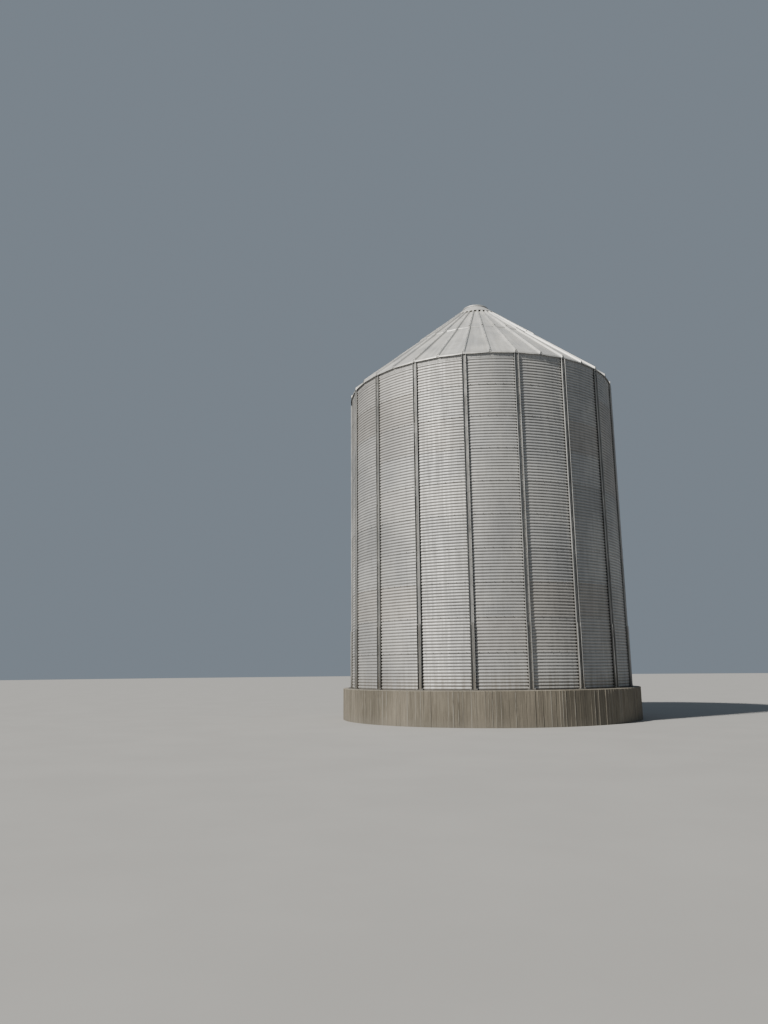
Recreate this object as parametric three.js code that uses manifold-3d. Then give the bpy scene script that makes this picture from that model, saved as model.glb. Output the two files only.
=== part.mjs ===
// Grain silo: a round shell of corrugated steel sheets on a concrete base, stiffened by open
// channels on its outside, under a ribbed conical roof with a small cap at its peak.
// Millimetres, +Z up. The origin is on the silo's axis, at the foot of the concrete.

import * as THREE from 'three';
import { mergeVertices } from 'three/addons/utils/BufferGeometryUtils.js';
import Module from 'manifold-3d';

const wasm = await Module();
wasm.setup();

// Driving dimensions of the round shell
const wallRadius = 4115;        // to the middle of the corrugated sheet
const stiffenerCount = 18;
const wallSegments = 12;        // the wall is split into these, three to a quarter
const strakeCount = 10;         // sheets above each other
const strakeHeight = 900;
const corrugationsPerStrake = 11;
const corrugationDepth = 14;    // from valley to crest
const rimCorrugations = 1.5;    // the top of the wall is left flat over this many

// Driving dimensions of the concrete base and the steel ring on it
const baseRadius = 4400;
const baseHeight = 900;
const baseChamfer = 15;
const baseRingThickness = 10;
const baseRingInside = 70;      // reach inside the middle of the wall
const baseRingOutside = 135;    // reach outside the middle of the wall

// Driving dimensions of a stiffener, an open channel on a foot plate
const channelWidth = 120;
const channelDepth = 50;
const channelThickness = 6;
const footWidth = 200;
const footDepth = 100;
const footThickness = 12;
const stiffenerRise = 15;       // the channel ends this far above the top of the wall

// Driving dimensions of the roof
const roofSlope = THREE.MathUtils.degToRad(39.5);
const roofOverhang = 50;        // past the middle of the wall
const roofLift = 50.4;          // top of the sheet at its edge, above the top of the wall
const roofSheet = 8;
const ribsPerQuarter = 9;
const ribHeight = 50;
const ribFoot = 76;             // rib width where it leaves the sheet
const ribCrown = 44;            // rib width across its flat top
const tierRadius = 2180;        // the upper tier of sheets starts here
const tierStep = 20;            // and lies this much higher
const tierLap = 60;
const roofHoleRadius = 480;

// Driving dimensions of the curb under the roof's edge
const curbReach = 36;           // past the middle of the wall
const curbLeg = 30;             // flat edge of the curb below the sheet

// Driving dimensions of the peak
const collarRadius = 780;
const neckRadius = 408;
const neckHeight = 35;
const peakSheet = 8;
const lidRadius = 424;
const lidLip = 28;
const lidSlope = THREE.MathUtils.degToRad(12);

// Clearances
const seat = 0.3;               // between a piece and the turned piece that it rests on
const ribSeat = 1.0;            // collar over the middle of a rib; the rib's corners are nearer
const sheetGap = 0.4;           // between neighbouring segments or quarters

// Worked-out sizes
const facets = 72;
const facetAngle = 2 * Math.PI / facets;
const frontBearing = -Math.PI / 2;
const quarters = 4;
const quarterAngle = 2 * Math.PI / quarters;
const segmentAngle = 2 * Math.PI / wallSegments;
const stiffenerAngle = 2 * Math.PI / stiffenerCount;
const ribAngle = quarterAngle / ribsPerQuarter;
const wallFoot = baseHeight + baseRingThickness;
const wallTop = wallFoot + strakeCount * strakeHeight;
const rimHeight = rimCorrugations * strakeHeight / corrugationsPerStrake;
const sheetTop = wallTop - rimHeight;
const wallHalf = (corrugationDepth + 2) / 2;
const wallOutside = wallRadius + wallHalf;
const wallInside = wallRadius - wallHalf;
const roofRadius = wallRadius + roofOverhang;
const alongSlope = Math.tan(roofSlope);
const upright = 1 / Math.cos(roofSlope);    // a thickness across the slope, measured upwards

// Finishes
const galvanised = new THREE.MeshStandardMaterial({ color: 0x9a9c99, roughness: 0.45, metalness: 0.7 });
const galvanisedPost = new THREE.MeshStandardMaterial({ color: 0xaeb1ae, roughness: 0.4, metalness: 0.75 });
const roofSteel = new THREE.MeshStandardMaterial({ color: 0xa8a79c, roughness: 0.5, metalness: 0.65 });
const concrete = new THREE.MeshStandardMaterial({ color: 0x6f6557, roughness: 0.9, metalness: 0 });

const silo = new THREE.Group();

function addPiece(name, geometry, material) {
  const mesh = new THREE.Mesh(geometry, material);
  mesh.name = name;
  silo.add(mesh);
  return mesh;
}

// Top of the roof sheet at a radius, without ribs or laps
function roofHeight(radius) {
  return wallTop + roofLift + (roofRadius - radius) * alongSlope;
}

function onCircle(radius, angle, height) {
  return new THREE.Vector3(radius * Math.cos(angle), radius * Math.sin(angle), height);
}

// A profile of [radius, height] pairs, anticlockwise, turned all the way round the axis
function turned(profile) {
  const points = profile.map(([radius, height]) => new THREE.Vector2(radius, height));
  return new THREE.LatheGeometry(points, facets).rotateX(Math.PI / 2);
}

function closedProfile(profile) {
  return turned([...profile, profile[0]]);
}

// A curved sheet between two grids of points, rows going up and columns going round
function sheetBetween(outer, inner) {
  const rows = outer.length;
  const columns = outer[0].length;
  const positions = [...outer.flat(), ...inner.flat()].flatMap((point) => point.toArray());
  const out = (row, column) => row * columns + column;
  const into = (row, column) => rows * columns + out(row, column);
  const index = [];
  const quad = (a, b, c, d) => index.push(a, b, c, a, c, d);
  for (let row = 0; row < rows - 1; row += 1) {
    for (let column = 0; column < columns - 1; column += 1) {
      quad(out(row, column), out(row, column + 1), out(row + 1, column + 1), out(row + 1, column));
      quad(into(row, column), into(row + 1, column), into(row + 1, column + 1), into(row, column + 1));
    }
    const last = columns - 1;
    quad(out(row, 0), out(row + 1, 0), into(row + 1, 0), into(row, 0));
    quad(out(row, last), into(row, last), into(row + 1, last), out(row + 1, last));
  }
  for (let column = 0; column < columns - 1; column += 1) {
    const top = rows - 1;
    quad(out(0, column), into(0, column), into(0, column + 1), out(0, column + 1));
    quad(out(top, column), out(top, column + 1), into(top, column + 1), into(top, column));
  }
  const geometry = new THREE.BufferGeometry();
  geometry.setAttribute('position', new THREE.Float32BufferAttribute(positions, 3));
  geometry.setIndex(index);
  return geometry;
}

// Concrete base: ring, fill and floor as one mass, with a chamfered top edge
function base() {
  return turned([
    [0, 0],
    [baseRadius, 0],
    [baseRadius, baseHeight - baseChamfer],
    [baseRadius - baseChamfer, baseHeight],
    [0, baseHeight],
  ]);
}

// Flat steel ring that the sheets and the stiffeners stand on
function baseRing() {
  const inside = wallRadius - baseRingInside;
  const outside = wallRadius + baseRingOutside;
  return closedProfile([
    [inside, baseHeight],
    [outside, baseHeight],
    [outside, wallFoot],
    [inside, wallFoot],
  ]);
}

// A piece of the round shell between two sides, each a list of [radius, height] going up.
// The first piece has its middle at the front, and the others follow anticlockwise.
function shellPiece(number, arc, outer, inner) {
  const steps = Math.round(arc / facetAngle);
  const start = frontBearing + (number - 0.5) * arc;
  const cuts = new Array(steps + 1).fill(0);
  cuts[0] = sheetGap / 2;
  cuts[steps] = -sheetGap / 2;
  const row = ([radius, height]) => cuts.map(
    (cut, step) => onCircle(radius, start + step * facetAngle + cut / radius, height),
  );
  return sheetBetween(outer.map(row), inner.map(row));
}

// One segment of the wall, as the plain band that its corrugations lie in
function wallSegment(number) {
  const outer = [[wallOutside, wallFoot], [wallOutside, sheetTop]];
  const inner = [[wallInside, wallFoot], [wallInside, sheetTop]];
  return shellPiece(number, segmentAngle, outer, inner);
}

function toManifold(geometry) {
  const bare = geometry.clone();
  bare.deleteAttribute('normal');
  bare.deleteAttribute('uv');
  const merged = mergeVertices(bare, 1e-3);
  return new wasm.Manifold(new wasm.Mesh({
    numProp: 3,
    vertProperties: new Float32Array(merged.attributes.position.array),
    triVerts: new Uint32Array(merged.index.array),
  }));
}

function fromManifold(solid) {
  const mesh = solid.getMesh();
  const geometry = new THREE.BufferGeometry();
  geometry.setAttribute('position', new THREE.Float32BufferAttribute(mesh.vertProperties, 3));
  geometry.setIndex(Array.from(mesh.triVerts));
  return geometry;
}

// Open channel with its back on the wall at y = 0 and its mouth facing out, on its foot plate
function stiffener() {
  const half = channelWidth / 2;
  const within = half - channelThickness;
  const section = new THREE.Shape([
    [-half, 0], [half, 0], [half, channelDepth], [within, channelDepth],
    [within, channelThickness], [-within, channelThickness], [-within, channelDepth], [-half, channelDepth],
  ].map(([x, y]) => new THREE.Vector2(x, y)));
  const height = wallTop + stiffenerRise - wallFoot;
  const channel = new THREE.ExtrudeGeometry(section, { depth: height, bevelEnabled: false });
  const foot = new THREE.BoxGeometry(footWidth, footDepth, footThickness);
  foot.translate(0, footDepth / 2, footThickness / 2);
  return fromManifold(toManifold(channel).add(toManifold(foot)));
}

// One quarter of the wall's flat rim, with the curb that carries the roof's edge
function eaveQuarter(number) {
  const outside = wallRadius + curbReach;
  const under = (radius) => roofHeight(radius) - roofSheet * upright - seat;
  const curbFoot = under(outside) - curbLeg;
  const outer = [
    [wallOutside, sheetTop],
    [wallOutside, curbFoot],
    [outside, curbFoot],
    [outside, under(outside)],
  ];
  const inner = [
    [wallInside, sheetTop],
    [wallInside, curbFoot],
    [wallInside, under(outside)],
    [wallInside, under(wallInside)],
  ];
  return shellPiece(number, quarterAngle, outer, inner);
}

// Points across one roof quarter, as [angle, sideways, up] at each corner of its ribs and sheets
function quarterColumns(start, sheet) {
  const foot = ribFoot / 2 - sheet;
  const crown = ribCrown / 2 - sheet / 2;
  const columns = [[start, sheetGap / 2, 0]];
  for (let rib = 0; rib < ribsPerQuarter; rib += 1) {
    const middle = start + (rib + 0.5) * ribAngle;
    const between = rib === ribsPerQuarter - 1 ? -sheetGap / 2 : 0;
    columns.push([middle, -foot, 0], [middle, -crown, ribHeight]);
    columns.push([middle, crown, ribHeight], [middle, foot, 0]);
    columns.push([middle + ribAngle / 2, between, 0]);
  }
  return columns;
}

// One quarter of the roof: sheets in two tiers, with the raised ribs that join them
function roofQuarter(number) {
  const start = frontBearing + (number - 0.5) * quarterAngle;
  const surface = (lapRadius, sheet) => {
    const rows = [[roofRadius, 0], [lapRadius, 0], [lapRadius, tierStep], [roofHoleRadius, tierStep]];
    const columns = quarterColumns(start, sheet);
    return rows.map(([radius, lift]) => columns.map(([angle, sideways, up]) => {
      const height = roofHeight(radius) + (lift + up - sheet) * upright;
      return onCircle(radius, angle + sideways / radius, height);
    }));
  };
  return sheetBetween(surface(tierRadius, 0), surface(tierRadius - tierLap, roofSheet));
}

// Underside of the collar, just above the tops of the ribs
function ribTopHeight(radius) {
  return roofHeight(radius) + (tierStep + ribHeight) * upright + ribSeat;
}

const neckTop = ribTopHeight(neckRadius) + peakSheet * upright + neckHeight;

// One quarter of the conical collar over the upper ends of the ribs, with the filling neck
function collarQuarter(number) {
  const inside = neckRadius - peakSheet;
  const skin = peakSheet * upright;
  const outer = [
    [collarRadius, ribTopHeight(collarRadius) + skin],
    [neckRadius, ribTopHeight(neckRadius) + skin],
    [neckRadius, neckTop],
  ];
  const inner = [
    [collarRadius, ribTopHeight(collarRadius)],
    [inside, ribTopHeight(inside)],
    [inside, neckTop],
  ];
  return shellPiece(number, quarterAngle, outer, inner);
}

// Underside of the lid, which rests on the neck
function lidUnder(radius) {
  return neckTop + seat + (neckRadius - radius) * Math.tan(lidSlope);
}

// Shallow conical lid with a flat edge underneath for its rim
function peakCap() {
  const rimInside = lidRadius - peakSheet;
  return turned([
    [0, lidUnder(0)],
    [rimInside, lidUnder(rimInside)],
    [rimInside, lidUnder(lidRadius)],
    [lidRadius, lidUnder(lidRadius)],
    [lidRadius, lidUnder(lidRadius) + peakSheet],
    [0, lidUnder(0) + peakSheet],
  ]);
}

// Rim that hangs from the lid's edge, round the outside of the neck
function capRim() {
  const rimInside = lidRadius - peakSheet;
  const rimTop = lidUnder(lidRadius);
  return closedProfile([
    [rimInside, rimTop - lidLip],
    [lidRadius, rimTop - lidLip],
    [lidRadius, rimTop],
    [rimInside, rimTop],
  ]);
}

addPiece('concrete_base', base(), concrete);
addPiece('base_ring', baseRing(), galvanisedPost);

for (let number = 0; number < wallSegments; number += 1) {
  const label = String(number + 1).padStart(2, '0');
  addPiece(`wall_segment_${label}`, wallSegment(number), galvanised);
}

const stiffenerShape = stiffener();
for (let number = 0; number < stiffenerCount; number += 1) {
  const label = String(number + 1).padStart(2, '0');
  const bearing = frontBearing + number * stiffenerAngle;
  const mesh = addPiece(`stiffener_${label}`, stiffenerShape, galvanisedPost);
  mesh.position.copy(onCircle(wallOutside + seat, bearing, wallFoot));
  mesh.rotation.z = bearing - Math.PI / 2;
}

for (let number = 0; number < quarters; number += 1) {
  addPiece(`eave_quarter_${number + 1}`, eaveQuarter(number), galvanised);
  addPiece(`roof_quarter_${number + 1}`, roofQuarter(number), roofSteel);
  addPiece(`collar_quarter_${number + 1}`, collarQuarter(number), roofSteel);
}

addPiece('peak_cap', peakCap(), roofSteel);
addPiece('cap_rim', capRim(), roofSteel);

export default silo;
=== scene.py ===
import math
import random

import bpy
import numpy as np
from mathutils import Matrix, Vector


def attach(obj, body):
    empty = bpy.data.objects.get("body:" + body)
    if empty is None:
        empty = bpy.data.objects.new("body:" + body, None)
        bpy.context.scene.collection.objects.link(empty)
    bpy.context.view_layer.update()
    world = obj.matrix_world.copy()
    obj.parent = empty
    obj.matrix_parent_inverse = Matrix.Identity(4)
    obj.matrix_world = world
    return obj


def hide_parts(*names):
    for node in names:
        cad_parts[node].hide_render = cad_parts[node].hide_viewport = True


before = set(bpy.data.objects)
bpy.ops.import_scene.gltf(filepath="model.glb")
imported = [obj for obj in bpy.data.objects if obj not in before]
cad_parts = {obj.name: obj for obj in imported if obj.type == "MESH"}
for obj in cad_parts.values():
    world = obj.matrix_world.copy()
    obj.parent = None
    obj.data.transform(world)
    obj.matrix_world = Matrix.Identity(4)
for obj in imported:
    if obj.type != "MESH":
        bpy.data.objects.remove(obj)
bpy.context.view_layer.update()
rng = random.Random(11)

# Sizes in metres: radii from the silo's axis, heights from the foot of its concrete
FRONT = -math.pi / 2                # bearing of the side that faces the camera
BASE = 4.400                        # outside of the concrete
BASE_TOP = 0.900
WALL = 4.115                        # middle of the corrugated wall
WALL_FOOT = 0.910
WALL_TOP = 9.910
STRAKES = 10
STRAKE = 0.900
SHEETS_ROUND = 9                    # sheets in one strake
WAVES = 11                          # corrugations in one strake
PITCH = STRAKE / WAVES
CREST = WALL_FOOT + PITCH / 2       # height of the lowest crest
SHEET_TOP = WALL_TOP - 1.5 * PITCH  # over this the wall runs out into a flat rim
POSTS = 18
BAY = math.radians(20)              # from one stiffener to the next
POST_BACK = 4.1233
LENGTH = 1.80                       # of a stiffener's upper lengths
JOINTS = [2.60, 4.40, 6.20, 8.00]   # heights where its lengths meet
RIBS = 36
RIB = math.radians(10)              # from one roof rib to the next
SLOPE = math.radians(39.5)
UPRIGHT = 1 / math.cos(SLOPE)       # turns a thickness across the slope into a height
ROOF_EDGE = 4.165
EAVE_LIFT = 0.0504                  # from the wall's top to the roof sheet at its edge
TIER = 2.180                        # lower edge of the roof's upper tier
TIER_LIFT = 0.020                   # the upper tier lies this far over the lower one
RIB_TOP = 0.070                     # top of the upper tier's ribs over the lower tier's sheet
SHEET_STEEL = 0.0015                # thickness of the wall's and the roof's sheets
COLLAR = 0.780
COLLAR_THICK = 0.008                # as the solid has it
NECK = 0.408
LID = 0.424
LID_SLOPE = math.radians(12)


def roof_height(radius):
    """Height of the lower tier's sheet, carried on to the axis."""
    return WALL_TOP + EAVE_LIFT + (ROOF_EDGE - radius) * math.tan(SLOPE)


def rib_top(radius):
    """Height just over the upper tier's ribs, where the collar lies."""
    return roof_height(radius) + RIB_TOP * UPRIGHT + 0.001


NECK_TOP = rib_top(NECK) + COLLAR_THICK * UPRIGHT + 0.035


# Meshes

def on_circle(radius, angle, height):
    """Points from arrays that broadcast together."""
    radius, angle, height = np.broadcast_arrays(radius, angle, height)
    return np.stack([radius * np.cos(angle), radius * np.sin(angle), height], -1)


def turned_points(profile, columns):
    """A profile of (radius, height) turned about the axis, a row of points to each of its own."""
    angles = FRONT + np.arange(columns) * 2 * math.pi / columns
    r = np.array([p[0] for p in profile])[:, None]
    z = np.array([p[1] for p in profile])[:, None] + 0 * angles
    return np.stack([r * np.cos(angles), r * np.sin(angles), z], 2)


def grid_faces(index):
    """Faces between neighbours in a grid of vertex numbers."""
    corners = [index[:-1, :-1], index[:-1, 1:], index[1:, 1:], index[1:, :-1]]
    return np.stack(corners, 2).reshape(-1, 4)


class Joined:
    """Closed shapes that are collected into one mesh."""

    def __init__(self):
        self.verts, self.faces, self.count = [], [], 0

    def add(self, verts, faces):
        verts = np.asarray(verts, float).reshape(-1, 3)
        self.verts.append(verts)
        self.faces.extend([tuple(int(i) + self.count for i in face) for face in faces])
        self.count += len(verts)

    def shell(self, outer, inner):
        """A closed sheet between two grids of points: rows going up, columns going anticlockwise."""
        outer, inner = np.asarray(outer, float), np.asarray(inner, float)
        rows, cols = outer.shape[:2]
        o = np.arange(rows * cols).reshape(rows, cols)
        i = o + rows * cols
        quads = [
            (o[:-1, :-1], o[:-1, 1:], o[1:, 1:], o[1:, :-1]),
            (i[:-1, :-1], i[1:, :-1], i[1:, 1:], i[:-1, 1:]),
            (o[0, :-1], i[0, :-1], i[0, 1:], o[0, 1:]),
            (o[-1, :-1], o[-1, 1:], i[-1, 1:], i[-1, :-1]),
            (o[:-1, 0], o[1:, 0], i[1:, 0], i[:-1, 0]),
            (o[:-1, -1], i[:-1, -1], i[1:, -1], o[1:, -1]),
        ]
        faces = np.vstack([np.stack([q.ravel() for q in quad], 1) for quad in quads])
        self.add(np.concatenate([outer.reshape(-1, 3), inner.reshape(-1, 3)]), faces)

    def turned(self, profile, columns=144):
        """A closed profile of (radius, height), anticlockwise in that plane, turned about the axis."""
        index = np.arange(len(profile) * columns).reshape(len(profile), columns)
        index = np.vstack([index, index[:1]])
        index = np.hstack([index, index[:, :1]])
        self.add(turned_points(profile, columns), grid_faces(index))

    def lid(self, profile, columns=144):
        """A solid between the axis and a profile of (radius, height) that goes from its lower middle
        outwards and back to its upper middle."""
        inner = profile[1:-1]
        n = len(inner)
        verts = turned_points(inner, columns).reshape(-1, 3)
        verts = np.vstack([verts, [0, 0, profile[0][1]], [0, 0, profile[-1][1]]])
        low, high = n * columns, n * columns + 1
        faces = []
        for k in range(columns):
            nxt = (k + 1) % columns
            faces.append((low, nxt, k))
            faces.append((high, (n - 1) * columns + k, (n - 1) * columns + nxt))
            for row in range(n - 1):
                a, b = row * columns, (row + 1) * columns
                faces.append((a + k, a + nxt, b + nxt, b + k))
        self.add(verts, faces)

    def piece(self, name, material, nodes=(), sharp=35):
        """Makes the object, with its edges sharp over an angle in degrees."""
        mesh = bpy.data.meshes.new(name)
        mesh.from_pydata(np.vstack(self.verts).tolist(), [], self.faces)
        mesh.validate()
        mesh.shade_smooth()
        mesh.set_sharp_from_angle(angle=math.radians(sharp))
        mesh.materials.append(material)
        obj = bpy.data.objects.new(name, mesh)
        bpy.context.scene.collection.objects.link(obj)
        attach(obj, "root")
        if nodes:
            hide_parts(*nodes)
        return obj


def offset(x, y, distance):
    """A polyline moved to its right by a distance, along the normals at its points."""
    dx, dy = np.gradient(x), np.gradient(y)
    length = np.hypot(dx, dy)
    return x + dy / length * distance, y - dx / length * distance


def rounded(corners, radius, steps=4):
    """An open polyline with arcs of a radius at its inner corners."""
    points = [corners[0]]
    for before, at, after in zip(corners, corners[1:], corners[2:]):
        a = np.subtract(before, at)
        b = np.subtract(after, at)
        a, b = a / np.linalg.norm(a), b / np.linalg.norm(b)
        half = math.acos(max(-1, min(1, float(a @ b)))) / 2
        middle = (a + b) / np.linalg.norm(a + b)
        centre = np.add(at, middle * radius / math.sin(half))
        start = np.add(at, a * radius / math.tan(half)) - centre
        end = np.add(at, b * radius / math.tan(half)) - centre
        turn = math.atan2(start[0] * end[1] - start[1] * end[0], float(start @ end))
        x, y = start
        for k in range(steps + 1):
            c, s = math.cos(turn * k / steps), math.sin(turn * k / steps)
            points.append((centre[0] + c * x - s * y, centre[1] + s * x + c * y))
    points.append(corners[-1])
    return np.array(points)


def strip_sides(points, thickness):
    """Both sides of a thin bent strip along a polyline."""
    x, y = np.array(points, float).T
    ax, ay = offset(x, y, thickness / 2)
    bx, by = offset(x, y, -thickness / 2)
    return np.stack([ax, ay], 1), np.stack([bx, by], 1)


def bolt_shape(across=0.018, high=0.008, washer=0.0135, thick=0.003, stud=0.0):
    """A hexagon head on a washer, standing on z = 0, as verts and faces. washer is a radius."""
    verts, faces = [], []

    def prism(radius, count, low, top, chamfer=0.0):
        start = len(verts)
        rings = [(radius, low), (radius, top - chamfer)]
        if chamfer:
            rings.append((radius - chamfer, top))
        for r, z in rings:
            for k in range(count):
                a = 2 * math.pi * k / count
                verts.append((r * math.cos(a), r * math.sin(a), z))
        for row in range(len(rings) - 1):
            for k in range(count):
                n = (k + 1) % count
                a, b = start + row * count, start + (row + 1) * count
                faces.append((a + k, a + n, b + n, b + k))
        faces.append(tuple(start + k for k in reversed(range(count))))
        faces.append(tuple(start + (len(rings) - 1) * count + k for k in range(count)))

    prism(washer, 10, -0.002, thick)
    prism(across / 2 / math.cos(math.pi / 6), 6, thick - 0.001, thick + high, 0.0015)
    if stud:
        prism(across * 0.3, 8, thick + high - 0.001, thick + high + stud, 0.001)
    return np.array(verts), faces


def place(joined, shape, origin, normal, size=1.0):
    """Adds a bolt at a point, its head along a direction and turned at random by up to a radian."""
    verts, faces = shape
    normal = Vector(normal).normalized()
    turn = normal.to_track_quat("Z", "Y").to_matrix() @ Matrix.Rotation(rng.random(), 3, "Z")
    moved = verts * size @ np.array(turn).T + np.array(origin)
    joined.add(moved, faces)


def outward(angle):
    """The level direction away from the axis."""
    return (math.cos(angle), math.sin(angle), 0.0)


# Materials

class Shade:
    """A material's node tree, built by short calls."""

    def __init__(self, name):
        self.material = bpy.data.materials.new(name)
        self.material.use_nodes = True
        self.nodes = self.material.node_tree.nodes
        self.links = self.material.node_tree.links
        self.nodes.clear()
        self.position = self.node("ShaderNodeTexCoord").outputs["Object"]
        parts = self.node("ShaderNodeSeparateXYZ", [self.position])
        self.x, self.y, self.z = parts.outputs

    def node(self, kind, inputs=(), **settings):
        """Adds a node. Its inputs are values to set or sockets to link, in order or by name."""
        made = self.nodes.new(kind)
        for key, value in settings.items():
            setattr(made, key, value)
        pairs = inputs.items() if isinstance(inputs, dict) else enumerate(inputs)
        for key, value in pairs:
            if value is None:
                continue
            if isinstance(value, bpy.types.NodeSocket):
                self.links.new(value, made.inputs[key])
            else:
                made.inputs[key].default_value = value
        return made

    def math(self, operation, a, b=None, c=None):
        return self.node("ShaderNodeMath", [a, b, c], operation=operation).outputs[0]

    def times(self, a, b):
        return self.math("MULTIPLY", a, b)

    def apart(self, a, b):
        return self.math("ABSOLUTE", self.math("SUBTRACT", a, b))

    def stretched(self, x, y, z):
        """The position times a factor for each axis."""
        parts = [self.position, (x, y, z)]
        return self.node("ShaderNodeVectorMath", parts, operation="MULTIPLY").outputs[0]

    def noise(self, vector, scale, detail=4.0, rough=0.55):
        inputs = {"Vector": vector, "Scale": scale, "Detail": detail, "Roughness": rough}
        return self.node("ShaderNodeTexNoise", inputs).outputs[0]

    def range(self, value, low, high, to_low, to_high, kind="SMOOTHSTEP"):
        """A value's range brought to another one, with a soft start and end."""
        inputs = {
            "Value": value, "From Min": low, "From Max": high, "To Min": to_low, "To Max": to_high}
        return self.node("ShaderNodeMapRange", inputs, interpolation_type=kind).outputs[0]

    def ramp(self, value, low, high, to_low, to_high):
        """The same in a straight line."""
        return self.range(value, low, high, to_low, to_high, "LINEAR")

    def mix(self, factor, a, b, blend="MIX"):
        made = self.nodes.new("ShaderNodeMix")
        made.data_type = "RGBA"
        made.blend_type = blend
        for index, value in ((0, factor), (6, a), (7, b)):
            if isinstance(value, bpy.types.NodeSocket):
                self.links.new(value, made.inputs[index])
            elif index == 0:
                made.inputs[0].default_value = value
            else:
                made.inputs[index].default_value = (*value, 1.0)
        return made.outputs[2]

    def tone(self, colour, value):
        """The colour times a number."""
        grey = self.node("ShaderNodeCombineXYZ", [value, value, value]).outputs[0]
        return self.mix(1.0, colour, grey, "MULTIPLY")

    def cell(self, *parts):
        """A random number from 0 to 1 that is the same wherever these whole numbers are."""
        vector = self.node("ShaderNodeCombineXYZ", list(parts)).outputs[0]
        return self.node("ShaderNodeTexWhiteNoise", [vector], noise_dimensions="3D").outputs["Value"]

    def turns(self):
        """Bearing from the front, anticlockwise, in turns from 0 to 1."""
        angle = self.math("ARCTAN2", self.y, self.x)
        turn = self.math("MULTIPLY_ADD", angle, 1 / (2 * math.pi), 0.25)
        return self.math("FLOORED_MODULO", turn, 1.0)

    def radius(self):
        """Distance from the silo's axis."""
        square = self.math("MULTIPLY_ADD", self.x, self.x, self.times(self.y, self.y))
        return self.math("SQRT", square)

    def spangle(self, scale=55.0):
        """The crystal pattern of zinc, from 0 to 1."""
        inputs = {"Vector": self.position, "Scale": scale}
        cells = self.node("ShaderNodeTexVoronoi", inputs, voronoi_dimensions="3D").outputs["Color"]
        return self.node("ShaderNodeSeparateColor", [cells]).outputs[0]

    def finish(self, colour, rough, metallic, bump=None, strength=None, distance=None):
        shader = self.node("ShaderNodeBsdfPrincipled", {
            "Base Color": colour, "Roughness": rough, "Metallic": metallic})
        if bump is not None:
            heights = {"Strength": strength, "Distance": distance, "Height": bump}
            self.links.new(self.node("ShaderNodeBump", heights).outputs[0], shader.inputs["Normal"])
        out = self.node("ShaderNodeOutputMaterial")
        self.links.new(shader.outputs[0], out.inputs[0])
        return self.material


# Colours of what lies on the steel and the concrete, and of painted shade on them
TROUGH_SHADE = (0.060, 0.057, 0.053)
WARM_ZINC = (0.408, 0.378, 0.342)
WALL_SPLASH = (0.17, 0.15, 0.12)
EAVE_SHADE = (0.09, 0.09, 0.085)
GAP_SHADE = (0.02, 0.019, 0.018)
CHANNEL_SHADE = (0.085, 0.08, 0.07)
POST_SPLASH = (0.18, 0.16, 0.13)
FOOT_DIRT_AND_SHADE = (0.07, 0.064, 0.055)
ROOF_DUST = (0.50, 0.48, 0.43)
FIN_PALE = (0.24, 0.228, 0.20)
FOOT_DUST = (0.15, 0.138, 0.115)
EDGE_PALE = (0.24, 0.225, 0.195)


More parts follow.
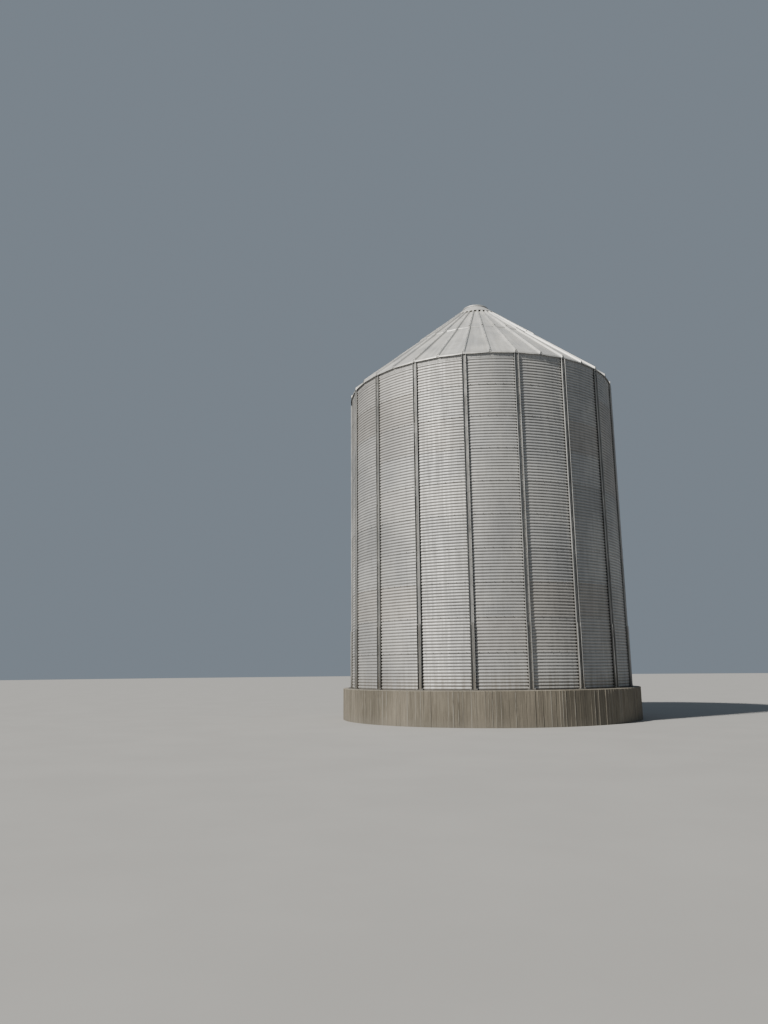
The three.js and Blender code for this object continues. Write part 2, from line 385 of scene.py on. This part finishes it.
def wall_steel():
    s = Shade("corrugated_sheet")
    # Each sheet of each strake has its own tone
    strake = s.math("FLOOR", s.math("MULTIPLY_ADD", s.z, 1 / STRAKE, -CREST / STRAKE))
    strake = s.math("MAXIMUM", strake, 0.0)
    odd = s.math("FLOORED_MODULO", strake, 2.0)
    sheets = s.math("MULTIPLY_ADD", s.turns(), SHEETS_ROUND, s.times(odd, -0.5))
    sheet = s.math("FLOOR", s.math("FLOORED_MODULO", sheets, SHEETS_ROUND))
    own = s.ramp(s.cell(sheet, strake, 3.0), 0, 1, 0.90, 1.09)
    # Clouds, streaks that run down, and the zinc's crystals
    cloud = s.noise(s.stretched(1, 1, 0.6), 0.9, 5)
    streak = s.noise(s.stretched(1, 1, 0.05), 16, 4, 0.6)
    fine = s.noise(s.stretched(1, 1, 0.14), 55, 3, 0.6)
    grain = s.spangle()
    tone = s.times(own, s.range(cloud, 0.3, 0.7, 0.91, 1.07))
    tone = s.times(tone, s.range(streak, 0.38, 0.70, 1.03, 0.90))
    tone = s.times(tone, s.range(fine, 0.3, 0.7, 1.01, 0.98))
    tone = s.times(tone, s.ramp(grain, 0, 1, 0.96, 1.04))
    # Painted shade in the troughs, with its middle a tenth of a pitch over theirs
    wave = s.math("FRACT", s.math("MULTIPLY_ADD", s.z, 1 / PITCH, 0.90 - CREST / PITCH))
    trough = s.range(s.apart(wave, 0.5), 0.14, 0.34, 1.0, 0.0)
    trough = s.times(trough, s.math("LESS_THAN", s.z, SHEET_TOP))
    trough_shade = s.times(trough, s.range(s.noise(s.position, 5, 4), 0.35, 0.7, 0.43, 0.60))
    # Painted shade in the gaps where a stiffener stands over a trough
    aside = s.math("FRACT", s.math("MULTIPLY_ADD", s.turns(), POSTS, 0.5))
    aside = s.times(s.apart(aside, 0.5), BAY * WALL)
    gap = s.range(s.apart(wave, 0.46), 0.16, 0.30, 0.92, 0.0)
    gap = s.times(gap, s.range(aside, 0.072, 0.090, 1.0, 0.0))
    zinc = s.mix(s.range(cloud, 0.35, 0.65, 0, 1), (0.370, 0.376, 0.380), (0.412, 0.412, 0.403))
    zinc = s.mix(s.range(s.cell(sheet, strake, 8.0), 0.3, 1.0, 0.0, 0.45), zinc, WARM_ZINC)
    colour = s.mix(trough_shade, s.tone(zinc, tone), TROUGH_SHADE)
    splash = s.times(s.range(s.z, 0.95, 1.5, 0.45, 0.0), s.range(streak, 0.3, 0.65, 0.1, 1.0))
    colour = s.mix(splash, colour, WALL_SPLASH)
    # Painted shade in a band under the eave
    colour = s.mix(s.range(s.z, 9.80, 9.84, 0.0, 0.16), colour, EAVE_SHADE)
    colour = s.mix(gap, colour, GAP_SHADE)
    rough = s.math("ADD", s.range(streak, 0.3, 0.7, 0.49, 0.64), s.times(grain, 0.05))
    return s.finish(colour, rough, 0.40, fine, 0.08, 0.001)


def section_steel():
    s = Shade("galvanised_section")

    def over(joint, under, above):
        """One value under a joint of the stiffeners and another over it."""
        return s.ramp(s.z, joint - 0.01, joint + 0.01, under, above)

    # Each length of each stiffener has its own tone
    bay = s.math("FLOOR", s.math("MULTIPLY_ADD", s.turns(), POSTS, 0.5))
    length = s.math("MULTIPLY_ADD", s.z, 1 / LENGTH, (LENGTH - JOINTS[0]) / LENGTH)
    length = s.math("FLOOR", s.math("MINIMUM", length, 4.9))
    own = s.ramp(s.cell(bay, length, 1.0), 0, 1, 0.92, 1.06)
    streak = s.noise(s.stretched(1, 1, 0.06), 40, 4, 0.6)
    cloud = s.noise(s.stretched(1, 1, 0.5), 2.2, 4)
    grain = s.spangle(70)
    tone = s.times(own, s.range(streak, 0.35, 0.7, 1.05, 0.84))
    tone = s.times(tone, s.ramp(grain, 0, 1, 0.95, 1.05))
    tone = s.times(tone, over(JOINTS[1], 1.0, 1.28))
    zinc = s.mix(s.range(cloud, 0.35, 0.65, 0, 1), (0.40, 0.408, 0.41), (0.465, 0.468, 0.462))
    colour = s.tone(zinc, tone)
    # Painted shade deep in the channels, which stand further out where they are doubled
    depth = s.math("SUBTRACT", s.radius(), over(JOINTS[0], 0.018, 0.0))
    inside = s.times(s.range(depth, 4.126, 4.172, 0.62, 0.02), s.range(streak, 0.3, 0.7, 0.7, 1.0))
    inside = s.times(inside, over(JOINTS[0], 1.45, 1.0))
    inside = s.times(inside, over(JOINTS[1], 1.0, 1.32))
    colour = s.mix(inside, colour, CHANNEL_SHADE)
    splash = s.times(s.range(s.z, 0.92, 1.5, 0.6, 0.0), s.range(streak, 0.3, 0.65, 0.3, 1.0))
    colour = s.mix(splash, colour, POST_SPLASH)
    # Dirt and painted shade at the foot, over the plates and the flat ring under the wall
    colour = s.mix(s.range(s.z, 0.913, 0.935, 0.75, 0.0), colour, FOOT_DIRT_AND_SHADE)
    rough = s.math("ADD", s.range(cloud, 0.3, 0.7, 0.36, 0.50), s.times(grain, 0.06))
    return s.finish(colour, rough, 0.50, streak, 0.08, 0.001)


def roof_steel():
    s = Shade("roof_sheet")
    # Each panel of each tier has its own tone
    panel = s.math("FLOOR", s.times(s.turns(), RIBS))
    radius = s.radius()
    tier = s.math("GREATER_THAN", radius, TIER)
    own = s.ramp(s.cell(panel, tier, 2.0), 0, 1, 0.93, 1.06)
    # Streaks that run down the slope and keep to their bearings
    across = s.math("DIVIDE", 22.0, radius)
    down = s.node("ShaderNodeCombineXYZ", [
        s.times(s.x, across), s.times(s.y, across), s.times(radius, 0.5)]).outputs[0]
    streak = s.noise(down, 1.6, 5, 0.6)
    cloud = s.noise(s.position, 1.1, 5)
    grain = s.spangle()
    tone = s.times(own, s.range(streak, 0.35, 0.68, 1.06, 0.84))
    tone = s.times(tone, s.ramp(grain, 0, 1, 0.97, 1.03))
    zinc = s.mix(s.range(cloud, 0.35, 0.65, 0, 1), (0.50, 0.503, 0.495), (0.585, 0.579, 0.555))
    dust = s.range(s.noise(s.position, 7, 5), 0.4, 0.7, 0.0, 0.5)
    dust = s.times(dust, s.range(streak, 0.3, 0.7, 0.4, 1))
    colour = s.mix(dust, s.tone(zinc, tone), ROOF_DUST)
    rough = s.math("ADD", s.range(cloud, 0.3, 0.7, 0.42, 0.54), s.times(grain, 0.04))
    return s.finish(colour, rough, 0.50, streak, 0.10, 0.001)


def board_concrete():
    s = Shade("board_marked_concrete")
    wide = s.noise(s.stretched(1, 1, 0.35), 0.8, 4)
    streak = s.noise(s.stretched(1, 1, 0.05), 13, 5, 0.65)
    thin = s.noise(s.stretched(1, 1, 0.03), 70, 3, 0.6)
    grain = s.noise(s.position, 42, 6, 0.65)
    pores = s.node("ShaderNodeTexVoronoi", {"Vector": s.position, "Scale": 90.0}).outputs["Distance"]
    tone = s.times(s.range(streak, 0.34, 0.66, 0.82, 1.16), s.range(thin, 0.32, 0.68, 0.80, 1.18))
    tone = s.times(tone, s.range(wide, 0.35, 0.65, 0.90, 1.10))
    tone = s.times(tone, s.range(grain, 0.3, 0.7, 0.88, 1.10))
    tone = s.times(tone, s.range(pores, 0.0, 0.16, 0.70, 1.0))
    base = s.mix(s.range(wide, 0.35, 0.65, 0, 1), (0.110, 0.098, 0.076), (0.139, 0.123, 0.096))
    colour = s.tone(base, tone)
    # Paler fins, foot and upper edge
    fin = s.range(s.radius(), BASE - 0.0045, BASE - 0.0012, 0.0, 0.85)
    colour = s.mix(s.times(fin, s.range(s.z, 0.86, 0.885, 1, 0)), colour, FIN_PALE)
    foot = s.times(s.range(s.z, 0.02, 0.28, 0.5, 0.0), s.range(grain, 0.3, 0.7, 0.4, 1.0))
    colour = s.mix(foot, colour, FOOT_DUST)
    edge = s.times(s.range(s.z, 0.884, 0.897, 0.0, 0.5), s.range(grain, 0.35, 0.6, 0.3, 1.0))
    colour = s.mix(edge, colour, EDGE_PALE)
    rough = s.range(grain, 0.3, 0.7, 0.82, 0.95)
    return s.finish(colour, rough, 0.0, grain, 0.45, 0.004)


def floor_material():
    s = Shade("pale_floor")
    cloud = s.noise(s.position, 0.6, 4)
    colour = s.mix(s.range(cloud, 0.3, 0.7, 0, 1), (0.265, 0.262, 0.255), (0.28, 0.277, 0.27))
    return s.finish(colour, 0.8, 0.0)


SHEETS = wall_steel()
SECTION = section_steel()
ROOF = roof_steel()
CONCRETE = board_concrete()


# Corrugated wall: ten strakes of nine sheets, lapped like shingles and staggered by one bay

WAVE = 0.007            # half of a corrugation's depth from crest to trough
WAVE_MIDDLE = WALL - 0.001
RIM_FACE = 4.1155
RIM_BLEND = 0.035       # height in which the corrugations run out
WAVE_ROWS = 6           # rows of points to a corrugation
SHEET_TURN = 40         # degrees round that a sheet covers
SIDE_LAP = 0.45         # degrees past that at each side
FOOT_LEAN = 0.0013      # a sheet's foot stands out by this much and its top in, to lap
SIDE_LEAN = 0.0008      # one side of it stands out by this much and the other in


def wall_radius(z):
    """The wall's outer face by height: corrugations, and then the flat rim."""
    wave = WAVE_MIDDLE + WAVE * np.cos(2 * math.pi * (z - CREST) / PITCH)
    rim = np.clip((z - SHEET_TOP) / RIM_BLEND, 0, 1)
    rim = rim * rim * (3 - 2 * rim)
    return wave * (1 - rim) + RIM_FACE * rim


WALL_NODES = [f"wall_segment_{k:02d}" for k in range(1, 13)]
for number in range(STRAKES):
    steps = np.arange(-2, WAVE_ROWS * WAVES + 3)
    z = CREST + number * STRAKE + steps * PITCH / WAVE_ROWS
    if number == 0:
        z = np.concatenate([[WALL_FOOT + 0.0005], z])
    if number == STRAKES - 1:
        z = np.concatenate([z[z < SHEET_TOP + 0.04], [SHEET_TOP + 0.055, WALL_TOP - 0.005]])
    strake = Joined()
    v = (z - z[0]) / (z[-1] - z[0])
    for sheet in range(SHEETS_ROUND):
        turn = SHEET_TURN * sheet + SHEET_TURN / 2 * (number % 2) - SIDE_LAP
        u = np.linspace(0, 1, 11)
        angle = FRONT + math.radians(turn) + u * math.radians(SHEET_TURN + 2 * SIDE_LAP)
        lean = FOOT_LEAN * (1 - 2 * v)[:, None] + SIDE_LEAN * (1 - 2 * u)[None, :]
        radius = wall_radius(z)[:, None] + lean
        outer = on_circle(radius, angle[None, :], z[:, None])
        inner = on_circle(radius - SHEET_STEEL, angle[None, :], z[:, None])
        strake.shell(outer, inner)
    strake.piece(f"wall_strake_{number + 1:02d}", SHEETS, WALL_NODES, sharp=50)


# Curb at the eave: a bent strip from the wall's rim out under the roof's edge

CURB_BACK = 4.1195
CURB_FACE = 4.1490


def roof_under(radius):
    """Height of the curb's middle under the roof's sheet."""
    return roof_height(radius) - 0.004


curb_line = rounded([
    (CURB_BACK, 9.815), (CURB_BACK, roof_under(CURB_BACK)),
    (CURB_FACE, roof_under(CURB_FACE)), (CURB_FACE, 9.932),
], 0.006)
side_a, side_b = strip_sides(curb_line, 0.003)
curb = Joined()
curb.turned([tuple(p) for p in side_a] + [tuple(p) for p in side_b[::-1]], 180)
curb.piece("eave_curb", SHEETS, [f"eave_quarter_{k}" for k in range(1, 5)])


# Stiffeners: open channels in five lengths, the lowest one doubled, with splices and anchored feet

# Corners of the channels, as sideways and out from the wall
POST = [(-0.058, 0.050), (-0.058, 0.002), (0.058, 0.002), (0.058, 0.050)]
DOUBLER = [(-0.0535, 0.068), (-0.0535, 0.022), (0.0535, 0.022), (0.0535, 0.068)]
SPLICE = [(-0.0535, 0.042), (-0.0535, 0.0065), (0.0535, 0.0065), (0.0535, 0.042)]
FOOT_PLATE = np.array([
    (-0.100, 0.0), (0.100, 0.0), (0.100, 0.088), (0.088, 0.100), (-0.088, 0.100), (-0.100, 0.088)])
PLATE_TOP = WALL_FOOT + 0.012
CHANNEL_STEEL = 0.004
CHANNEL_BEND = 0.008
JOINT_GAP = 0.002       # from a joint to the end of each length
SPLICE_HALF = 0.16
POST_WEB = 0.0045       # where the bolts stand on each kind of channel
DOUBLER_WEB = 0.0245
SPLICE_WEB = 0.0085
BOLT_ASIDE = 0.034      # they stand in two rows, this far from the channel's middle
BOLT = bolt_shape()
ANCHOR = bolt_shape(across=0.036, high=0.018, washer=0.026, thick=0.004, stud=0.022)


def post_to_world(bearing, x, y, z):
    """Points of a stiffener's own frame: x sideways, y out from the wall, z up."""
    x, y, z = np.broadcast_arrays(x, y, z)
    radius = POST_BACK + y
    side = np.array([-math.sin(bearing), math.cos(bearing)])
    out = np.array([math.cos(bearing), math.sin(bearing)])
    return np.stack([radius * out[0] + x * side[0], radius * out[1] + x * side[1], z], -1)


def channel(joined, bearing, corners, low, high):
    """A channel between two heights, bent from a strip along its corners."""
    a, b = strip_sides(rounded(corners, CHANNEL_BEND), CHANNEL_STEEL)
    heights = np.array([low, high])
    outer = post_to_world(bearing, a[:, :1], a[:, 1:], heights[None, :])
    inner = post_to_world(bearing, b[:, :1], b[:, 1:], heights[None, :])
    joined.shell(outer, inner)


def foot_plate(joined, bearing):
    """The plate under a stiffener, with its upper edge broken."""
    rings = [(1.0, WALL_FOOT), (1.0, WALL_FOOT + 0.010), (0.985, PLATE_TOP)]
    x, y = FOOT_PLATE.T
    verts = np.concatenate([post_to_world(bearing, x * size, y * size, z) for size, z in rings])
    n = len(FOOT_PLATE)
    faces = [tuple(range(n)), tuple(2 * n + k for k in reversed(range(n)))]
    for row in range(2):
        for k in range(n):
            m = (k + 1) % n
            faces.append((row * n + m, row * n + k, (row + 1) * n + k, (row + 1) * n + m))
    joined.add(verts, faces)


post_fixings = Joined()
for number in range(POSTS):
    bearing = FRONT + number * BAY
    post = Joined()
    ends = [PLATE_TOP, *JOINTS, WALL_TOP + 0.015]
    for low, high in zip(ends, ends[1:]):
        gap_low = JOINT_GAP if low != ends[0] else 0
        gap_high = JOINT_GAP if high != ends[-1] else 0
        channel(post, bearing, POST, low + gap_low, high - gap_high)
    channel(post, bearing, DOUBLER, ends[0], JOINTS[0] - JOINT_GAP)
    for joint in JOINTS[1:]:
        channel(post, bearing, SPLICE, joint - SPLICE_HALF, joint + SPLICE_HALF)
        for up in (-0.12, -0.04, 0.04, 0.12):
            for x in (-BOLT_ASIDE, BOLT_ASIDE):
                spot = post_to_world(bearing, x, SPLICE_WEB, joint + up)
                place(post_fixings, BOLT, spot, outward(bearing))
    foot_plate(post, bearing)
    name = f"stiffener_post_{number + 1:02d}"
    post.piece(name, SECTION, [f"stiffener_{number + 1:02d}"])
    for x in (-0.081, 0.081):
        spot = post_to_world(bearing, x, 0.058, PLATE_TOP + 0.0005)
        place(post_fixings, ANCHOR, spot, (0, 0, 1), 0.7)
    # Bolts into every third crest, but for those by the joints
    for crest in range(2, STRAKES * WAVES - 2, 3):
        z = CREST + crest * PITCH
        if min(abs(z - joint) for joint in JOINTS) < 0.18:
            continue
        web = DOUBLER_WEB if z < JOINTS[0] else POST_WEB
        for x in (-BOLT_ASIDE, BOLT_ASIDE):
            place(post_fixings, BOLT, post_to_world(bearing, x, web, z), outward(bearing))
post_fixings.piece("stiffener_fixings", SECTION)


# Bolts along the laps of the strakes and round the rim

SEAM_BOLT = bolt_shape(across=0.014, high=0.006, washer=0.0105, thick=0.0025)
seam_fixings = Joined()


def bolt_row(radius, z, first, step, count):
    """Bolts in every bay, at parts of the way from one stiffener to the next."""
    for bay in range(POSTS):
        for k in range(count):
            bearing = FRONT + (bay + first + step * k) * BAY
            place(seam_fixings, SEAM_BOLT, on_circle(radius, bearing, z), outward(bearing))


for seam in range(1, STRAKES):
    bolt_row(4.1222, CREST + seam * STRAKE, 0.11, 0.156, 6)
bolt_row(4.1212, 9.852, 0.14, 0.18, 5)
seam_fixings.piece("wall_fixings", SECTION)


# Roof: nine panels to a quarter in two tiers, each lapping over its neighbour's rib

# Half of a rib's outline, as across and up from the sheet
RIB_SIDE = [
    (-0.048, 0.0), (-0.040, 0.0015), (-0.035, 0.008),
    (-0.025, 0.041), (-0.020, 0.0465), (-0.013, 0.0482),
]
RIB_LINE = RIB_SIDE + [(-x, up) for x, up in RIB_SIDE[::-1]]
RIB_HALF = 0.048
RIB_SEAT = 0.0496       # where the bolts stand on a rib
LAP_POINTS = 9          # a panel goes on under this many points of the next rib's outline
LAP_RISE = 0.0018       # a panel's own rib lies this far over the one that goes under it
SAG = 0.007             # of a panel's middle at the eave
RIPPLE = 0.0012         # of its flat part
LOWER_RADII = [ROOF_EDGE + 0.0005, ROOF_EDGE - 0.004, *np.linspace(ROOF_EDGE - 0.05, 2.10, 9)]
UPPER_RADII = [TIER + 0.0005, TIER - 0.004, *np.linspace(TIER - 0.04, 0.56, 8)]
BOLT_RADII = [*np.linspace(4.10, 2.32, 7), *np.linspace(2.08, 0.95, 5)]
ROOF_BOLT = bolt_shape(across=0.016, high=0.007, washer=0.012, thick=0.003)


def roof_panel(joined, number, radii, lift, edge_drop):
    """A sheet from its own rib to under its neighbour's, in rows from its lower edge up, which is
    bent down between the ribs."""
    left = FRONT + number * RIB
    outer, inner = [], []
    for row, radius in enumerate(radii):
        pitch = radius * RIB
        x = [s for s, up in RIB_LINE]
        y = [up + (LAP_RISE if s < 0.045 else 0.0) for s, up in RIB_LINE]
        for f in (0.2, 0.35, 0.5, 0.65, 0.8):
            x.append(RIB_HALF + f * (pitch - 2 * RIB_HALF))
            y.append(-SAG * radius / ROOF_EDGE * math.sin(math.pi * f))
        x += [pitch + s for s, up in RIB_LINE[:LAP_POINTS]]
        y += [up for s, up in RIB_LINE[:LAP_POINTS]]
        x, y = np.array(x), np.array(y)
        wave = RIPPLE * np.sin(3.1 * radius * 2 + number * 2.4 + x * 9)
        y = y + wave * (y < 0.001)
        if row == 0:
            y = np.where(y < 0.004, y - edge_drop, y)
        low_x, low_y = offset(x, y, SHEET_STEEL)
        for grid, gx, gy in ((outer, x, y), (inner, low_x, low_y)):
            height = roof_height(radius) + (lift + gy) * UPRIGHT
            grid.append(on_circle(radius, left + gx / radius, height))
    joined.shell(np.array(outer), np.array(inner))


def rib_stop(joined, number, radius):
    """A plate that closes a rib's open end from inside."""
    ring = np.array([(x * 0.93, max(-0.004, up - 0.0045)) for x, up in RIB_LINE[1:-1]])
    n = len(ring)
    verts = []
    for at in (radius, radius - 0.002):
        height = roof_height(at) + ring[:, 1] * UPRIGHT
        verts.append(on_circle(at, FRONT + number * RIB + ring[:, 0] / at, height))
    faces = [tuple(reversed(range(n))), tuple(n + k for k in range(n))]
    faces += [(k, (k + 1) % n, n + (k + 1) % n, n + k) for k in range(n)]
    joined.add(np.concatenate(verts), faces)


roof_fixings = Joined()
for quarter in range(4):
    sheets = Joined()
    for k in range(RIBS // 4):
        # The first quarter has the front rib in its middle
        number = quarter * RIBS // 4 + k - 4
        bearing = FRONT + number * RIB
        level = math.sin(SLOPE)
        normal = (math.cos(bearing) * level, math.sin(bearing) * level, math.cos(SLOPE))
        roof_panel(sheets, number, LOWER_RADII, 0.0, 0.018)
        rib_stop(sheets, number, ROOF_EDGE - 0.010)
        roof_panel(sheets, number, UPPER_RADII, TIER_LIFT, 0.014)
        for radius in BOLT_RADII:
            lift = TIER_LIFT if radius < TIER else 0.0
            spot = on_circle(radius, bearing, roof_height(radius) + (lift + RIB_SEAT) * UPRIGHT)
            place(roof_fixings, ROOF_BOLT, spot, normal)
    name = f"roof_sheets_{quarter + 1}"
    sheets.piece(name, ROOF, [f"roof_quarter_{quarter + 1}"], sharp=40)
roof_fixings.piece("roof_fixings", SECTION)


# Collar, neck and lid at the peak

skin = 0.003 * UPRIGHT
full = COLLAR_THICK * UPRIGHT
collar = Joined()
collar.turned([
    (COLLAR, rib_top(COLLAR)),
    (COLLAR + 0.001, rib_top(COLLAR) + full * 0.5),
    (COLLAR, rib_top(COLLAR) + full),
    (COLLAR - 0.014, rib_top(COLLAR - 0.014) + full),
    (COLLAR - 0.019, rib_top(COLLAR - 0.019) + skin),
    (NECK + 0.012, rib_top(NECK + 0.012) + skin),
    (NECK + 0.002, rib_top(NECK) + skin + 0.006),
    (NECK, rib_top(NECK) + skin + 0.016),
    (NECK, NECK_TOP),
    (NECK - 0.004, NECK_TOP),
    (NECK - 0.004, rib_top(NECK - 0.004)),
])
collar.piece("roof_collar", ROOF, [f"collar_quarter_{k}" for k in range(1, 5)])


def lid_under(radius):
    """Underside of the lid's cone, which rests on the neck's edge."""
    return NECK_TOP + 0.0003 + (NECK - radius) * math.tan(LID_SLOPE)


lid = Joined()
lid.lid([
    (0, lid_under(0) + 0.004),
    (LID - 0.006, lid_under(LID - 0.006) + 0.004),
    (LID - 0.004, lid_under(LID) - 0.020),
    (LID - 0.007, lid_under(LID) - 0.026),
    (LID - 0.003, lid_under(LID) - 0.028),
    (LID, lid_under(LID) - 0.025),
    (LID, lid_under(LID) + 0.002),
    (LID - 0.004, lid_under(LID) + 0.0075),
    (0.05, lid_under(0.05) + 0.008),
    (0, lid_under(0) + 0.008),
])
lid.piece("peak_lid", ROOF, ["peak_cap", "cap_rim"])


# Concrete: the marks of flat boards side by side, each a little in or out, with thin fins between them

BOARDS = 236
FIN = 0.0115            # the most that a fin stands out
BEND = 0.0006           # radians in which a board's face turns into a fin
TOP_INSIDE = 4.02       # where the ring's top meets what lies under the wall
HEIGHTS = [0.0, 0.09, 0.20, 0.31, 0.42, 0.53, 0.64, 0.75, 0.83, 0.886, BASE_TOP]
INSETS = [0.0] * (len(HEIGHTS) - 1) + [0.012]

widths = [rng.uniform(0.075, 0.160) for k in range(BOARDS)]
edges = np.cumsum([0] + widths)[:-1] * 2 * math.pi / sum(widths) + FRONT
# How far in each board lies, and how much further at one side than in its middle
boards = [(rng.uniform(0.005, 0.013), rng.uniform(-0.002, 0.002)) for edge in edges]
angles, depths = [], []
for k, edge in enumerate(edges):
    before, tilt_before = boards[k - 1]
    after, tilt_after = boards[k]
    half = rng.uniform(0.003, 0.008) / BASE
    high = rng.choice((0.0, 0.35, 0.7, 1.0, 1.0))
    fin = [high * rng.uniform(0.45, 1.0) * FIN for z in HEIGHTS]
    for at, depth, share in (
            (-half - BEND, before + tilt_before, 0), (-half, before + tilt_before, 1),
            (half, after - tilt_after, 1), (half + BEND, after - tilt_after, 0)):
        angles.append(edge + at)
        depths.append([max(0.0006, depth - share * f) for f in fin])
angles, depths = np.array(angles), np.array(depths).T
radii = BASE - depths - np.array(INSETS)[:, None]
outer = on_circle(radii, angles[None, :], np.array(HEIGHTS)[:, None])
columns = len(angles)
index = np.arange(len(HEIGHTS) * columns).reshape(len(HEIGHTS), columns)
faces = grid_faces(np.hstack([index, index[:, :1]])).tolist()
inner_top = on_circle(TOP_INSIDE, angles, BASE_TOP)
verts = np.concatenate([outer.reshape(-1, 3), inner_top, [[0, 0, 0], [0, 0, BASE_TOP]]])
top = (len(HEIGHTS) - 1) * columns
start = len(HEIGHTS) * columns
low_middle, high_middle = len(verts) - 2, len(verts) - 1
for k in range(columns):
    m = (k + 1) % columns
    faces.append((low_middle, m, k))
    faces.append((top + k, top + m, start + m, start + k))
    faces.append((high_middle, start + k, start + m))
base = Joined()
base.add(verts, faces)
base.piece("concrete_ring", CONCRETE, ["concrete_base"], sharp=20)

# The flat ring under the wall shows as the solid has it
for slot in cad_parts["base_ring"].material_slots:
    slot.material = SECTION


# Floor and light

bpy.ops.mesh.primitive_circle_add(vertices=96, radius=160, fill_type="NGON", location=(0, 0, -0.0005))
floor = bpy.context.object
floor.name = "floor"
floor.data.materials.append(floor_material())

world = bpy.data.worlds.new("studio")
bpy.context.scene.world = world
world.use_nodes = True
background = world.node_tree.nodes["Background"]
background.inputs[0].default_value = (0.72, 0.85, 1.0, 1)
background.inputs[1].default_value = 0.27

KEY_BEARING = math.radians(-151.5)
KEY_ELEVATION = math.radians(47)
lamp = bpy.data.lights.new("key", "SUN")
lamp.energy = 7.1
lamp.angle = math.radians(3)
lamp.color = (1.0, 0.955, 0.875)
key = bpy.data.objects.new("key", lamp)
bpy.context.scene.collection.objects.link(key)
towards = Vector((
    math.cos(KEY_BEARING) * math.cos(KEY_ELEVATION),
    math.sin(KEY_BEARING) * math.cos(KEY_ELEVATION),
    math.sin(KEY_ELEVATION),
))
key.rotation_mode = "QUATERNION"
key.rotation_quaternion = towards.to_track_quat("Z", "Y")


# Camera, where the photo was taken from

EYE_AWAY = 24.301                   # from the silo's axis
EYE_HEIGHT = 1.437
EYE_BEARING = math.radians(-90 - 14.957)
PITCH_UP = math.radians(11.498)
ROLL = math.radians(-0.5255)
HEADING = math.radians(7.576)
FOCAL_LENGTH = 775                  # in pixels of a picture that is 1024 of them high
PICTURE_HEIGHT = 1024
SENSOR = 36

ahead = Vector((math.sin(HEADING), math.cos(HEADING), 0))
aside = Vector((math.cos(HEADING), -math.sin(HEADING), 0))
above = -math.sin(PITCH_UP) * ahead + math.cos(PITCH_UP) * Vector((0, 0, 1))
forward = math.cos(PITCH_UP) * ahead + math.sin(PITCH_UP) * Vector((0, 0, 1))
right = math.cos(ROLL) * aside + math.sin(ROLL) * above
up = -math.sin(ROLL) * aside + math.cos(ROLL) * above
camera = bpy.data.objects.new("camera", bpy.data.cameras.new("camera"))
bpy.context.scene.collection.objects.link(camera)
eye = Vector((EYE_AWAY * math.cos(EYE_BEARING), EYE_AWAY * math.sin(EYE_BEARING), EYE_HEIGHT))
turn = Matrix((right, up, -forward)).transposed().to_4x4()
camera.matrix_world = Matrix.Translation(eye) @ turn
camera.data.lens = FOCAL_LENGTH / PICTURE_HEIGHT * SENSOR
camera.data.sensor_width = SENSOR
camera.data.clip_start = 0.1
camera.data.clip_end = 500
bpy.context.scene.camera = camera
